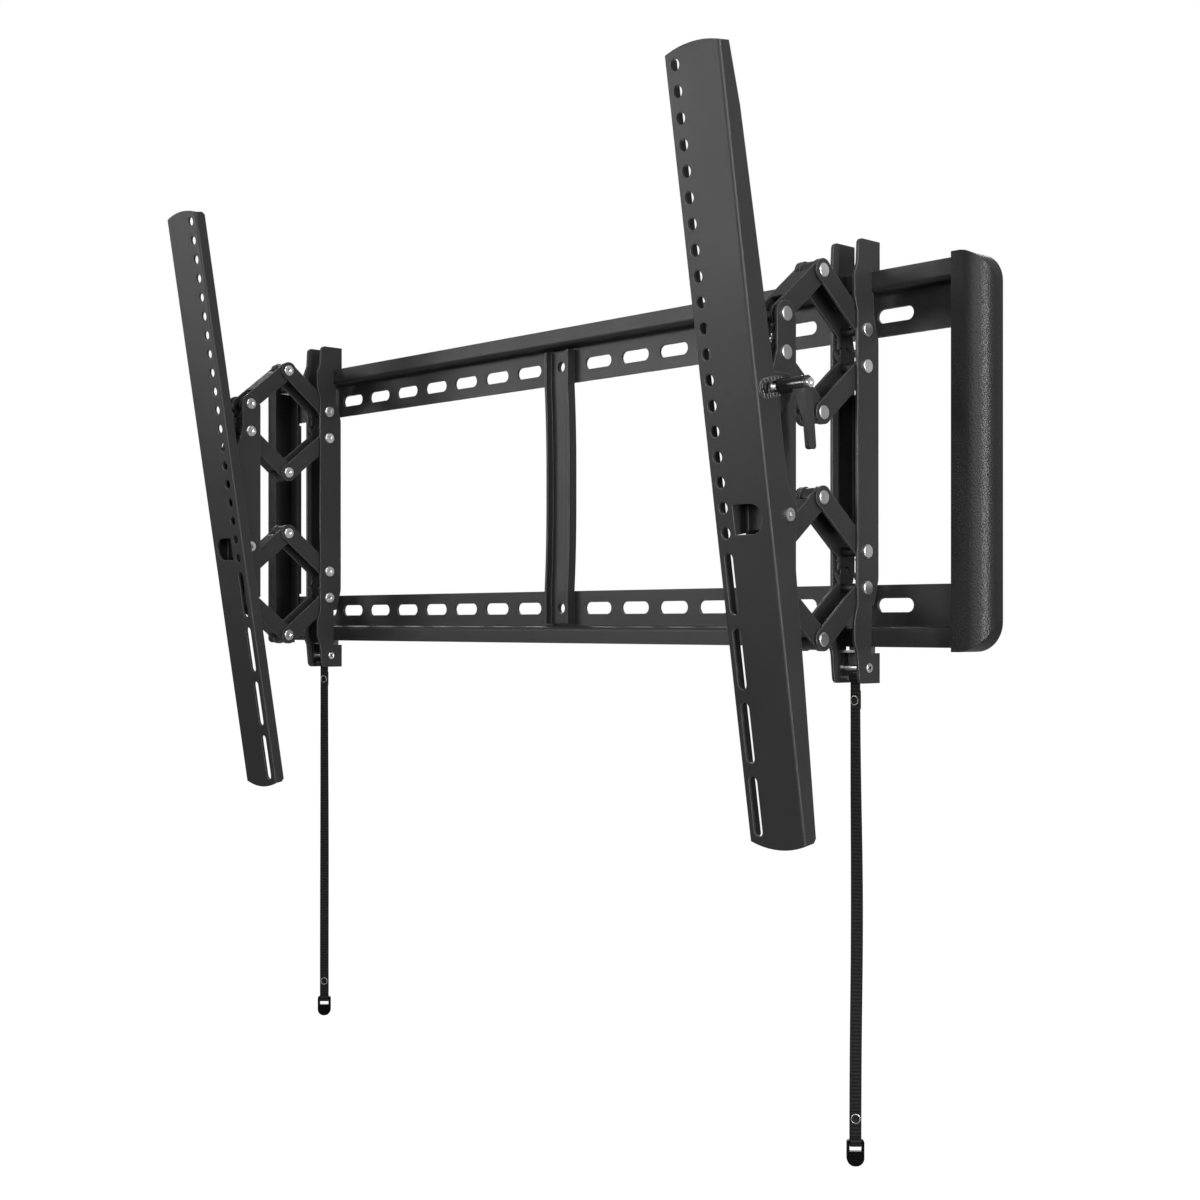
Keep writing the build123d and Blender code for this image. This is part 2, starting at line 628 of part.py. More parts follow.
with BuildPart() as tv_arm:
    with BuildSketch(face_plane):
        with BuildLine():
            middle = (ARM_FACE - ARM_INNER) / 2
            Line((-ARM_INNER, -ARM_BOTTOM), (-ARM_INNER, ARM_TOP))
            ThreePointArc((-ARM_INNER, ARM_TOP), (middle, ARM_TOP + ARM_TOP_ROUND), (ARM_FACE, ARM_TOP))
            Line((ARM_FACE, ARM_TOP), (ARM_FACE, -ARM_BOTTOM))
            foot_peak = (middle, -ARM_BOTTOM - ARM_BOTTOM_ROUND)
            ThreePointArc((ARM_FACE, -ARM_BOTTOM), foot_peak, (-ARM_INNER, -ARM_BOTTOM))
        make_face()
    extrude(amount=-SHEET)
    with BuildSketch(flange_plane.offset(ARM_FACE - SHEET)):
        with BuildLine():
            Polyline(*outer_flange, close=True)
        make_face()
    extrude(amount=SHEET)
    with BuildSketch(flange_plane.offset(-ARM_INNER)):
        with BuildLine():
            Polyline(
                (0, ARM_TOP),
                (ARM_INNER_FLANGE - BEND, ARM_TOP),
                (ARM_INNER_FLANGE, ARM_TOP - BEND),
                (ARM_INNER_FLANGE, -ARM_BOTTOM + BEND),
                (ARM_INNER_FLANGE - BEND, -ARM_BOTTOM),
                (0, -ARM_BOTTOM),
                close=True,
            )
        make_face()
    extrude(amount=SHEET)
    with BuildSketch(Plane(origin=arm_top, x_dir=(1, 0, 0), z_dir=-down)):
        for edge_x, inward in ((ARM_FACE, -1), (-ARM_INNER, 1)):
            with Locations((edge_x + inward * SHEET / 2, SHEET / 2)):
                Rectangle(SHEET, SHEET)
            with Locations((edge_x + inward * SHEET, SHEET)):
                Circle(SHEET, mode=Mode.SUBTRACT)
    extrude(amount=ARM_BOTTOM + ARM_BOTTOM_ROUND, both=True, mode=Mode.SUBTRACT)
    with BuildSketch(face_plane):
        with Locations(*[(0, -index * HOLE_PITCH) for index in range(HOLE_COUNT)]):
            Circle(HOLE / 2)
        for index in range(FACE_SLOTS):
            with Locations((0, -FACE_SLOT_FIRST - index * FACE_SLOT_PITCH)):
                SlotOverall(FACE_SLOT_LENGTH, FACE_SLOT, rotation=90)
        tab_length = ARM_DEPTH + PIVOT_EAR - 2 * SHEET
        with Locations((window_left + (tab_length - PIVOT_EAR) / 2, -PIVOT_DOWN)):
            Rectangle(tab_length - PIVOT_EAR, 2 * PIVOT_EAR)
        with Locations((window_left + tab_length - PIVOT_EAR, -PIVOT_DOWN)):
            Circle(PIVOT_EAR)
    extrude(amount=-SHEET, mode=Mode.SUBTRACT)
    with BuildSketch(flange_plane.offset(window_left - SHEET)):
        with Locations((ARM_DEPTH / 2, -PIVOT_DOWN)):
            Rectangle(ARM_DEPTH, 2 * PIVOT_EAR)
        with Locations((ARM_DEPTH, -PIVOT_DOWN)):
            Circle(PIVOT_EAR)
    extrude(amount=SHEET)
    with BuildSketch(flange_plane.offset(window_left - SHEET)):
        with Locations((ARM_DEPTH, -PIVOT_DOWN)):
            Circle(TILT_PIN / 2)
    extrude(amount=ARM_FACE - window_left + SHEET, mode=Mode.SUBTRACT)
    slot_start = 90 - stud_angle - TILT_LIMIT_FRONT
    slot_sweep = TILT_LIMIT_FRONT + ARM_TILT
    with BuildLine() as stud_path:
        CenterArc((ARM_DEPTH, -PIVOT_DOWN), stud_radius, slot_start, slot_sweep)
    with BuildSketch(flange_plane.offset(ARM_FACE)):
        with BuildLine():
            Polyline(*outer_flange, close=True)
        make_face()
        SlotArc(stud_path.edges()[0], ARC_SLOT + 2 * PAD_RIM, mode=Mode.INTERSECT)
    extrude(amount=PAD_RISE)
    with BuildSketch(flange_plane.offset(ARM_FACE + PAD_RISE)):
        with Locations((ARM_DEPTH, -PIVOT_DOWN)):
            with PolarLocations(stud_radius, SERRATIONS, slot_start - slot_sweep / 2, 2 * slot_sweep):
                Rectangle(ARC_SLOT + 4 * PAD_RIM, SERRATION)
    extrude(amount=-PAD_RISE / 2, mode=Mode.SUBTRACT)
    with BuildSketch(flange_plane.offset(ARM_FACE + PAD_RISE)):
        SlotArc(stud_path.edges()[0], ARC_SLOT)
    extrude(amount=-SHEET - PAD_RISE, mode=Mode.SUBTRACT)
save_pair(tv_arm, "tv_arm")

# Tilt pivot rivets: two short hollow rivets, one through each flange of the tilt bracket
rivet_steps = [
    (ARM_OUTER_X + SHEET, HEAD_HEIGHT, TILT_HEAD),
    (SIDE_X + TILT_HALF - SHEET, ARM_OUTER_X - SIDE_X - TILT_HALF + 2 * SHEET, TILT_PIN),
    (ARM_OUTER_X - HEAD_HEIGHT, HEAD_HEIGHT, TILT_HEAD),
    (SIDE_X + TILT_HALF - SHEET - SLIDE_GAP - HEAD_HEIGHT, HEAD_HEIGHT + SLIDE_GAP, TILT_PIN),
    (SIDE_X + TILT_HALF - SHEET - SLIDE_GAP - HEAD_HEIGHT, HEAD_HEIGHT, TILT_HEAD),
    (TAB_INNER_X - SHEET - HEAD_HEIGHT, HEAD_HEIGHT, TILT_HEAD),
    (TAB_INNER_X - SHEET, ARM_GAP + 2 * SHEET + SLIDE_GAP, TILT_PIN),
    (SIDE_X - TILT_HALF + SHEET + SLIDE_GAP, HEAD_HEIGHT, TILT_HEAD),
]
with BuildPart() as tilt_pivot_rivets:
    for start, length, diameter in rivet_steps:
        with BuildSketch(Plane.YZ.offset(start)):
            with Locations((-TILT_PIVOT_Y, -TILT_PIVOT_Z)):
                Circle(diameter / 2)
        extrude(amount=length)
    with BuildSketch(Plane.YZ.offset(SIDE_X)):
        with Locations((-TILT_PIVOT_Y, -TILT_PIVOT_Z)):
            Circle(EYELET / 2)
    extrude(amount=2 * TILT_HALF, both=True, mode=Mode.SUBTRACT)
save_pair(tilt_pivot_rivets, "tilt_pivot_rivets")

# Lever stud: fixed in the tilt bracket, out through the arm's arc slot
stud_end = ARM_OUTER_X + SHEET + PAD_RISE + LEVER_GAP + HUB_BORE_LENGTH
with BuildPart() as lever_stud:
    with BuildSketch(side_plate(TILT_HALF - SHEET - HEAD_HEIGHT)):
        with Locations((stud_y, stud_z)):
            Circle(STUD_HEAD / 2)
    extrude(amount=HEAD_HEIGHT)
    with BuildSketch(side_plate(TILT_HALF - SHEET)):
        with Locations((stud_y, stud_z)):
            Circle(STUD / 2)
    extrude(amount=stud_end - SIDE_X - TILT_HALF + SHEET)
    with BuildSketch(side_plate(TILT_HALF)):
        with Locations((stud_y, stud_z)):
            Circle(STUD_HEAD / 2)
    extrude(amount=HEAD_HEIGHT)
save_pair(lever_stud, "lever_stud")


def lever_handle():
    # The handle alone: leaning seen from the side, and swept in to a thin grip seen from the front
    outer_x = hub_start + HUB_LENGTH
    tip_y = stud_y + HANDLE_LEAN
    tip_z = stud_z - HANDLE_LENGTH
    neck_x = outer_x - HANDLE_TIP_THICK
    with BuildPart() as handle:
        with BuildSketch(Plane.YZ.offset(outer_x - HANDLE_THICK)) as side_view:
            with BuildLine():
                Polyline(
                    (stud_y - HANDLE_TOP / 2, stud_z),
                    (stud_y + HANDLE_TOP / 2, stud_z),
                    (tip_y + HANDLE_TIP / 2, tip_z),
                    (tip_y - HANDLE_TIP / 2, tip_z),
                    close=True,
                )
            make_face()
            fillet(side_view.vertices().sort_by(Axis.Y)[:2], HANDLE_TIP / 3)
        extrude(amount=HANDLE_THICK)
        with BuildSketch(Plane.XZ.offset(-stud_y - HANDLE_LENGTH)):
            with BuildLine():
                root, neck = (outer_x - HANDLE_THICK, stud_z), (neck_x, stud_z - HANDLE_NECK)
                Spline(root, neck, tangents=[(0, -1), (0, -1)])
                Polyline(neck, (neck_x, tip_z), (outer_x, tip_z), (outer_x, stud_z), root)
            make_face()
        extrude(amount=2 * HANDLE_LENGTH, mode=Mode.INTERSECT)
    return handle.part


# Clamp lever: a hub on the stud and a tapered handle hanging from it
hub_start = ARM_OUTER_X + SHEET + PAD_RISE + LEVER_GAP
with BuildPart() as clamp_lever:
    with BuildSketch(Plane.YZ.offset(hub_start)):
        with Locations((stud_y, stud_z)):
            Circle(HUB / 2)
    extrude(amount=HUB_LENGTH)
    add(lever_handle())
    with BuildSketch(Plane.YZ.offset(hub_start)):
        with Locations((stud_y, stud_z)):
            Circle(STUD / 2 + PIN_GAP)
    extrude(amount=HUB_BORE_LENGTH + LEVER_GAP, mode=Mode.SUBTRACT)
    with BuildSketch(Plane.YZ.offset(hub_start + HUB_BORE_LENGTH)):
        with Locations((stud_y, stud_z)):
            Circle(SCREW_SHANK / 2)
    extrude(amount=HUB_LENGTH - HUB_BORE_LENGTH, mode=Mode.SUBTRACT)
save_pair(clamp_lever, "clamp_lever")

# Lever screw: a cross-head screw in the end of the hub
with BuildPart() as clamp_lever_screw:
    with BuildSketch(Plane.YZ.offset(stud_end + LEVER_GAP)):
        with Locations((stud_y, stud_z)):
            Circle(SCREW_SHANK / 2)
    extrude(amount=hub_start + HUB_LENGTH - stud_end - LEVER_GAP)
    with BuildSketch(Plane.YZ.offset(hub_start + HUB_LENGTH)):
        with Locations((stud_y, stud_z)):
            Circle(SCREW_HEAD / 2)
    extrude(amount=SCREW_HEAD_HEIGHT)
    with BuildSketch(Plane.YZ.offset(hub_start + HUB_LENGTH + SCREW_HEAD_HEIGHT)):
        with Locations((stud_y, stud_z)):
            Rectangle(SCREW_HEAD / 2, SCREW_CROSS)
            Rectangle(SCREW_CROSS, SCREW_HEAD / 2)
    extrude(amount=-SCREW_CROSS_DEPTH, mode=Mode.SUBTRACT)
save_pair(clamp_lever_screw, "clamp_lever_screw")

# Foot latch: a folded clip that slides down to let the foot off the bottom lip
latch_half = REAR_LINK_HALF
with BuildPart() as latch:
    for offset in (-latch_half, latch_half - LATCH_SHEET):
        with BuildSketch(side_plate(offset)):
            with BuildLine():
                Polyline(
                    (-LATCH_FRONT, -LATCH_BOTTOM),
                    (-LATCH_FRONT, -LATCH_TOP),
                    (-LIP_STAND + LIP_GAP, -LATCH_TOP),
                    (-LIP_STAND + LIP_GAP, -LATCH_HOOK - LATCH_SHEET),
                    (-LIP_STAND + LIP_GAP + LATCH_SHEET, -LATCH_HOOK),
                    (-LATCH_BACK, -LATCH_HOOK),
                    (-LATCH_BACK, -LATCH_BOTTOM),
                    close=True,
                )
            make_face()
            with Locations((-LATCH_PIN_Y, -LATCH_PIN_Z + LATCH_TRAVEL / 2)):
                SlotCenterToCenter(
                    LATCH_TRAVEL, LATCH_PIN + 2 * PIN_GAP, rotation=90, mode=Mode.SUBTRACT
                )
        extrude(amount=LATCH_SHEET)
    with BuildSketch(Plane.XY.offset(-LATCH_BOTTOM)):
        with Locations((SIDE_X, -LATCH_BACK - LATCH_SHEET / 2)):
            Rectangle(2 * latch_half, LATCH_SHEET)
    extrude(amount=LATCH_BOTTOM - LATCH_HOOK)
    with BuildSketch(side_plate(-latch_half)):
        with Locations((-LATCH_PIN_Y, -STRAP_BAR_Z)):
            Circle(STRAP_BAR / 2)
        bridge_back = -LIP_STAND + LIP_GAP
        with Locations(((bridge_back - LATCH_FRONT) / 2, -LATCH_TOP - LATCH_SHEET / 2)):
            Rectangle(bridge_back + LATCH_FRONT, LATCH_SHEET)
    extrude(amount=2 * latch_half)
save_pair(latch, "latch")

# Latch pin across the foot of the hook bracket
with BuildPart() as latch_pin:
    pin_at = rivet_plane(-LATCH_PIN_Y, -LATCH_PIN_Z)
    pin_half = rivet_points(HOOK_HALF, LATCH_PIN / 2, LATCH_PIN_HEAD / 2, HEAD_HEIGHT / 2)
    with BuildSketch(pin_at):
        with BuildLine():
            Polyline(*pin_half, close=True)
        make_face()
    revolve(axis=Axis(pin_at.origin, pin_at.y_dir))
    with BuildSketch(side_plate(0)):
        with Locations((-LATCH_PIN_Y, -LATCH_PIN_Z)):
            Circle(LATCH_PIN_BORE / 2)
    extrude(amount=2 * HOOK_HALF, both=True, mode=Mode.SUBTRACT)
save_pair(latch_pin, "latch_pin")

# Pull straps: a loop round the latch's bar, a length of webbing and a loop round the tab's bar
strap_y = -LATCH_PIN_Y
strap_ring = STRAP_BAR / 2 + PIN_GAP
tab_ring = TAB_BAR + 2 * PIN_GAP
wide = Vector(*polar(1, STRAP_TURN), 0)
facing = Vector(*polar(1, STRAP_TURN - 90), 0)
for side, sign in (("right", 1), ("left", -1)):
    hang = Vector(sign * SIDE_X, strap_y, 0)
    with BuildPart() as pull_strap:
        with BuildSketch(Plane.YZ.offset(hang.X - STRAP_WIDTH / 2)):
            with Locations((strap_y, -STRAP_BAR_Z)):
                Circle(strap_ring + STRAP_THICK)
                Circle(strap_ring, mode=Mode.SUBTRACT)
        extrude(amount=STRAP_WIDTH)
        strap_top = -STRAP_BAR_Z - strap_ring - STRAP_THICK / 2
        strap_low = -TAB_TOP + PIN_GAP
        with BuildSketch(Plane(origin=hang + Vector(0, 0, strap_low), x_dir=wide, z_dir=(0, 0, 1))):
            Rectangle(STRAP_WIDTH, STRAP_THICK)
        extrude(amount=strap_top - strap_low)
        bar_middle = Vector(0, 0, -TAB_TOP - TAB_BAR / 2)
        with BuildSketch(Plane(origin=hang + bar_middle, x_dir=facing, z_dir=-wide)):
            Rectangle(TAB_THICK + 2 * PIN_GAP + 2 * STRAP_THICK, tab_ring + 2 * STRAP_THICK)
            Rectangle(TAB_THICK + 2 * PIN_GAP, tab_ring, mode=Mode.SUBTRACT)
        extrude(amount=STRAP_WIDTH / 2 - PIN_GAP, both=True)
    save(pull_strap.part, f"{side}_pull_strap")

    # Pull tab: a moulded end with a bar for the strap and a round foot
    with BuildPart() as pull_tab:
        tab_middle = hang + Vector(0, 0, -TAB_TOP - TAB_HEIGHT / 2)
        with BuildSketch(Plane(origin=tab_middle, x_dir=wide, z_dir=facing)) as tab_outline:
            Rectangle(TAB_WIDTH, TAB_HEIGHT)
            fillet(tab_outline.vertices().group_by(Axis.Y)[-1], TAB_ROUND)
            fillet(tab_outline.vertices().group_by(Axis.Y)[0], TAB_WIDTH / 2 - TAB_ROUND / 5)
            with Locations((0, TAB_HEIGHT / 2 - TAB_BAR - TAB_OPENING / 2)):
                Rectangle(STRAP_WIDTH + PIN_GAP, TAB_OPENING, mode=Mode.SUBTRACT)
        extrude(amount=TAB_THICK / 2, both=True)
    save(pull_tab.part, f"{side}_pull_tab")
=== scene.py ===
# %% [markdown]
# This lesson dresses a tilting television wall bracket for the camera. The steel pieces were drawn
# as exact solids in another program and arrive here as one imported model, so nothing is moved. What
# is left for Blender is what drawings don't hold: paint, plating, woven straps and light.

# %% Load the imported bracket
import math

import bmesh
import bpy
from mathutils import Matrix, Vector


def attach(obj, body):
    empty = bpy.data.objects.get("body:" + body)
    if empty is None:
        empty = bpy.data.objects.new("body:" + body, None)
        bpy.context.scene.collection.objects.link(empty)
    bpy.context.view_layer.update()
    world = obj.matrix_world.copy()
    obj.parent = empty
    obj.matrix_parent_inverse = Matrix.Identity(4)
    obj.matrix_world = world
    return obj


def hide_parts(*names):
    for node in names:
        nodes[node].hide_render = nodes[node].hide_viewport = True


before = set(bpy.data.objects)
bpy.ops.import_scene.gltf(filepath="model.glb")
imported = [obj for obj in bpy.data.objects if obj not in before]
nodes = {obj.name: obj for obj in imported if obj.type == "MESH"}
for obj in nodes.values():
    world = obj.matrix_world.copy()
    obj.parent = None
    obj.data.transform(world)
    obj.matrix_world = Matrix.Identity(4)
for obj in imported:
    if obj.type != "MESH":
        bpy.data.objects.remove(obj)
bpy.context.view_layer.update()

# %% [markdown]
# The camera comes first, because every later choice is judged through it. The real picture was
# taken level, from the right of the bracket and a little low, with a longish lens. Its height in
# the frame is set with a small lens shift, the way a view camera would do it, so uprights stay upright.

# %% Level camera with a lens shift
SENSOR = 36.0
FRAME_PIXELS = 1200
FOCAL_PIXELS = 1728.62
CAMERA_TURN = 46.266
CAMERA_PLACE = (1.26913, -1.16577, -0.13516)
HORIZON_DROP = 23.5
NEAREST, FARTHEST = 0.05, 50

camera_data = bpy.data.cameras.new("camera")
camera = bpy.data.objects.new("camera", camera_data)
bpy.context.scene.collection.objects.link(camera)
camera_data.sensor_width = SENSOR
camera_data.lens = FOCAL_PIXELS / FRAME_PIXELS * SENSOR
camera_data.shift_y = HORIZON_DROP / FRAME_PIXELS
camera_data.clip_start, camera_data.clip_end = NEAREST, FARTHEST
camera.location = CAMERA_PLACE
camera.rotation_euler = (math.pi / 2, 0, math.radians(CAMERA_TURN))
bpy.context.scene.camera = camera
bpy.context.scene.view_settings.view_transform = "Standard"
print("lens", round(camera_data.lens, 2), "mm")

# %% [markdown]
# Shader graphs get long when every sum is a node made by hand. A small wrapper lets the maths be
# written as ordinary Python: it holds a socket, and each operator adds the Math node it stands for.
# One more method adds any other kind of node, with its settings first and its inputs after.

# %% A socket that understands arithmetic
class Flow:
    def __init__(self, tree, socket):
        self.tree = tree
        self.socket = socket

    def plug(self, value, socket):
        if isinstance(value, Flow):
            self.tree.links.new(value.socket, socket)
        else:
            socket.default_value = value

    def math(self, operation, first, second=0.0):
        step = self.tree.nodes.new("ShaderNodeMath")
        step.operation = operation
        self.plug(first, step.inputs[0])
        self.plug(second, step.inputs[1])
        return Flow(self.tree, step.outputs[0])

    def __add__(self, other):
        return self.math("ADD", self, other)

    def __radd__(self, other):
        return self.math("ADD", other, self)

    def __sub__(self, other):
        return self.math("SUBTRACT", self, other)

    def __rsub__(self, other):
        return self.math("SUBTRACT", other, self)

    def __mul__(self, other):
        return self.math("MULTIPLY", self, other)

    def __rmul__(self, other):
        return self.math("MULTIPLY", other, self)

    def sine(self):
        return self.math("SINE", self)

    def held(self):
        kept = self.tree.nodes.new("ShaderNodeClamp")
        self.plug(self, kept.inputs[0])
        return Flow(self.tree, kept.outputs[0])

    def node(self, kind, output=0, settings=None, numbered=None, **named):
        made = self.tree.nodes.new(kind)
        for name, value in (settings or {}).items():
            setattr(made, name, value)
        for place, value in (numbered or {}).items():
            self.plug(value, made.inputs[place])
        for name, value in named.items():
            self.plug(value, made.inputs[name.replace("_", " ")])
        return Flow(self.tree, made.outputs[output])

    def mix_colours(self, first, second):
        return self.node("ShaderNodeMix", 2, {"data_type": "RGBA"}, {0: self, 6: first, 7: second})


def grey(level):
    return (level, level, level, 1)


def start_material(name):
    material = bpy.data.materials.new(name)
    material.use_nodes = True
    tree = material.node_tree
    shader = tree.nodes["Principled BSDF"]
    place = tree.nodes.new("ShaderNodeTexCoord").outputs["Object"]
    return material, shader, Flow(tree, place)


def edge_light(place, radius):
    soft = place.node("ShaderNodeBevel", settings={"samples": 6}, Radius=radius)
    plain = place.node("ShaderNodeNewGeometry", "Normal")
    along = place.node("ShaderNodeVectorMath", "Value", {"operation": "DOT_PRODUCT"}, {0: soft, 1: plain})
    return soft, (1.0 - along).held()


print("socket maths ready")

# %% [markdown]
# Nearly all of the bracket is sheet steel under a black powder coat. Powder melts into a skin with a
# faint orange peel about a millimetre across, and it is a little shinier where it flowed thicker.
# At a bend or a cut edge the skin is thin and rounded, and catches the light as a fine bright line,
# and that line is painted into the colour as a lighter grey, a painted highlight. So the coat is near
# black, with a roughness that drifts slowly, two sizes of soft bump, and an edge mask that comes from
# comparing the true surface direction with a softened one and lays that painted highlight along edges.

# %% Black powder coat
# the third grey is the painted highlight that the edge mask lays along edges
PAINT_DARK, PAINT_LIGHT, PAINT_HIGHLIGHT_GREY = 0.0105, 0.0175, 0.12
PAINT_EDGE = 0.0011
DRIFT_SCALE, PEEL_SCALE, GRAIN_SCALE = 14.0, 900.0, 3200.0


def powder_coat():
    material, shader, place = start_material("black_powder_coat")
    soft, edge = edge_light(place, PAINT_EDGE)
    drift = place.node("ShaderNodeTexNoise", Vector=place, Scale=DRIFT_SCALE, Detail=3.0)
    peel = place.node("ShaderNodeTexNoise", Vector=place, Scale=PEEL_SCALE, Detail=2.0)
    grain = place.node("ShaderNodeTexNoise", Vector=place, Scale=GRAIN_SCALE, Detail=1.0)
    tone = drift.mix_colours(grey(PAINT_DARK), grey(PAINT_LIGHT))
    # the edge mask mixes a light grey into the colour along edges: a painted highlight
    painted_edge_highlight = (edge * 2.0).held().mix_colours(tone, grey(PAINT_HIGHLIGHT_GREY))
    place.plug(painted_edge_highlight, shader.inputs["Base Color"])
    place.plug(0.38 + drift * 0.12 + grain * 0.06 - edge * 0.2, shader.inputs["Roughness"])
    shader.inputs["Specular IOR Level"].default_value = 0.27
    height = peel + grain * 0.5
    bump = place.node("ShaderNodeBump", Height=height, Strength=0.22, Distance=0.0003, Normal=soft)
    place.plug(bump, shader.inputs["Normal"])
    return material


black_coat = powder_coat()
print("made", black_coat.name)

# %% [markdown]
# The rivets, pins and screws are steel with a bright zinc plate. Plating follows the tool marks of the
# press, so the metal has small scuffs that change its roughness. The folded latches have the same plate
# left dull, so one recipe makes both and only its two greys change.

# %% Bright zinc plate
SCUFF_SCALE, CLOUD_SCALE = 700.0, 160.0


def zinc_plate(name, shade, light):
    material, shader, place = start_material(name)
    scuffs = place.node("ShaderNodeTexNoise", Vector=place, Scale=SCUFF_SCALE, Detail=4.0)
    clouds = place.node("ShaderNodeTexNoise", Vector=place, Scale=CLOUD_SCALE, Detail=2.0)
    tone = clouds.mix_colours(shade, light)
    place.plug(tone, shader.inputs["Base Color"])
    shader.inputs["Metallic"].default_value = 1.0
    place.plug(0.22 + scuffs * 0.18, shader.inputs["Roughness"])
    bump = place.node("ShaderNodeBump", Height=scuffs, Strength=0.10, Distance=0.0002)
    place.plug(bump, shader.inputs["Normal"])
    return material


bright_zinc = zinc_plate("bright_zinc_plate", (0.60, 0.60, 0.59, 1), (0.80, 0.80, 0.79, 1))
dull_zinc = zinc_plate("dull_zinc_plate", grey(0.16), grey(0.24))
print("made", bright_zinc.name, "and", dull_zinc.name)

# %% [markdown]
# Only the heads of the long rivets are bright. Between the plates the shanks are coloured near black,
# a painted shade for the dark gap there, so they look as black as the rest. Distance from the middle
# of a bracket tells which is which, and a short ramp at the plate's own depth keeps the change out of sight.

# %% Rivets with painted shade on their shanks
SIDE_X = 0.3815
SHANK_FADE = 0.0002
# near black for the shank between the plates: painted shade
SHANK_SHADE_BLACK = 0.008
LINK_SHANK, FRONT_SHANK = 0.0114, 0.0150


def shank_shaded_rivet(name, shank_half):
    material, shader, place = start_material(name)
    scuffs = place.node("ShaderNodeTexNoise", Vector=place, Scale=SCUFF_SCALE, Detail=4.0)
    sideways = place.node("ShaderNodeSeparateXYZ", "X", Vector=place)
    from_middle = place.math("ABSOLUTE", place.math("ABSOLUTE", sideways) - SIDE_X)
    head = ((from_middle - shank_half) * (1 / SHANK_FADE)).held()
    bright = scuffs.mix_colours((0.58, 0.58, 0.57, 1), (0.82, 0.82, 0.81, 1))
    # between the plates the shank gets near black: painted shade in the gap
    place.plug(head.mix_colours(grey(SHANK_SHADE_BLACK), bright), shader.inputs["Base Color"])
    place.plug(head, shader.inputs["Metallic"])
    place.plug(0.45 - head * 0.23 + scuffs * 0.18, shader.inputs["Roughness"])
    bump = place.node("ShaderNodeBump", Height=scuffs, Strength=0.10, Distance=0.0002)
    place.plug(bump, shader.inputs["Normal"])
    return material


link_rivet = shank_shaded_rivet("link_rivet_plate", LINK_SHANK)
front_rivet = shank_shaded_rivet("front_rivet_plate", FRONT_SHANK)
print("made", link_rivet.name, "and", front_rivet.name)

# %% [markdown]
# The end covers and pull tabs are moulded plastic. A mould is spark-eroded, which leaves a fine even
# grain, so the bump is one small size and the sheen is softer than on the paint. The tabs are a softer
# and darker plastic, so one recipe takes the two blacks and the shine. Their edges get a lighter grey
# from an edge mask, a painted highlight.

# %% Moulded satin plastic
MOULD_EDGE = 0.0008
# grey of the painted highlight along the edges
MOULD_HIGHLIGHT_GREY = 0.060
SPARK_SCALE, SPECK_SCALE = 620.0, 1300.0


def moulded_plastic(name, dark, light, shine):
    material, shader, place = start_material(name)
    soft, edge = edge_light(place, MOULD_EDGE)
    drift = place.node("ShaderNodeTexNoise", Vector=place, Scale=9.0, Detail=2.0)
    grain = place.node("ShaderNodeTexVoronoi", Vector=place, Scale=SPARK_SCALE)
    speck = place.node("ShaderNodeTexNoise", Vector=place, Scale=SPECK_SCALE, Detail=1.0)
    tone = drift.mix_colours(grey(dark), grey(light))
    # the edge mask mixes a lighter grey into the colour along edges: a painted highlight
    painted_edge_highlight = edge.mix_colours(tone, grey(MOULD_HIGHLIGHT_GREY))
    place.plug(painted_edge_highlight, shader.inputs["Base Color"])
    place.plug(0.22 + drift * 0.06 + speck * 0.26, shader.inputs["Roughness"])
    shader.inputs["Specular IOR Level"].default_value = shine
    height = grain * 0.8 + speck * 0.4
    bump = place.node("ShaderNodeBump", Height=height, Strength=0.7, Distance=0.0003, Normal=soft)
    place.plug(bump, shader.inputs["Normal"])
    return material


cover_plastic = moulded_plastic("moulded_satin_plastic", dark=0.007, light=0.011, shine=0.17)
tab_plastic = moulded_plastic("moulded_tab_plastic", dark=0.001, light=0.002, shine=0.03)
print("made", cover_plastic.name, "and", tab_plastic.name)

# %% [markdown]
# The clamp lever is the same kind of plastic from a polished mould, and fingers keep it shiny. A thin
# clear coat on a dark base gives the hard highlight, and smears break it up a little.

# %% Glossy lever plastic
LEVER_DARK, LEVER_LIGHT = 0.006, 0.010
SMEAR_SCALE = 120.0


def lever_plastic():
    material, shader, place = start_material("glossy_lever_plastic")
    smears = place.node("ShaderNodeTexNoise", Vector=place, Scale=SMEAR_SCALE, Detail=3.0)
    tone = smears.mix_colours(grey(LEVER_DARK), grey(LEVER_LIGHT))
    place.plug(tone, shader.inputs["Base Color"])
    place.plug(0.16 + smears * 0.14, shader.inputs["Roughness"])
    shader.inputs["Coat Weight"].default_value = 0.25
    shader.inputs["Coat Roughness"].default_value = 0.12
    bump = place.node("ShaderNodeBump", Height=smears, Strength=0.05, Distance=0.0002)
    place.plug(bump, shader.inputs["Normal"])
    return material


lever_gloss = lever_plastic()
print("made", lever_gloss.name)

# %% [markdown]
# The pull straps are narrow woven webbing. Its heavy cross threads make ribs, so one sine along the
# strap gives their hills, and a finer one across it breaks each rib where the long threads go over
# and under. The hollows are rougher, and their colour is darker as painted shade. The strap carries
# its own flat map in metres, so the weave follows it through every turn.

# %% Woven webbing
THREAD_ALONG = 0.0030
THREAD_ACROSS = 0.0017
HOLLOW_SHADE_BLACK, RIB_BLACK = 0.0006, 0.0120
FUZZ_SCALE = 1500.0
WEAVE_MAP = "weave"


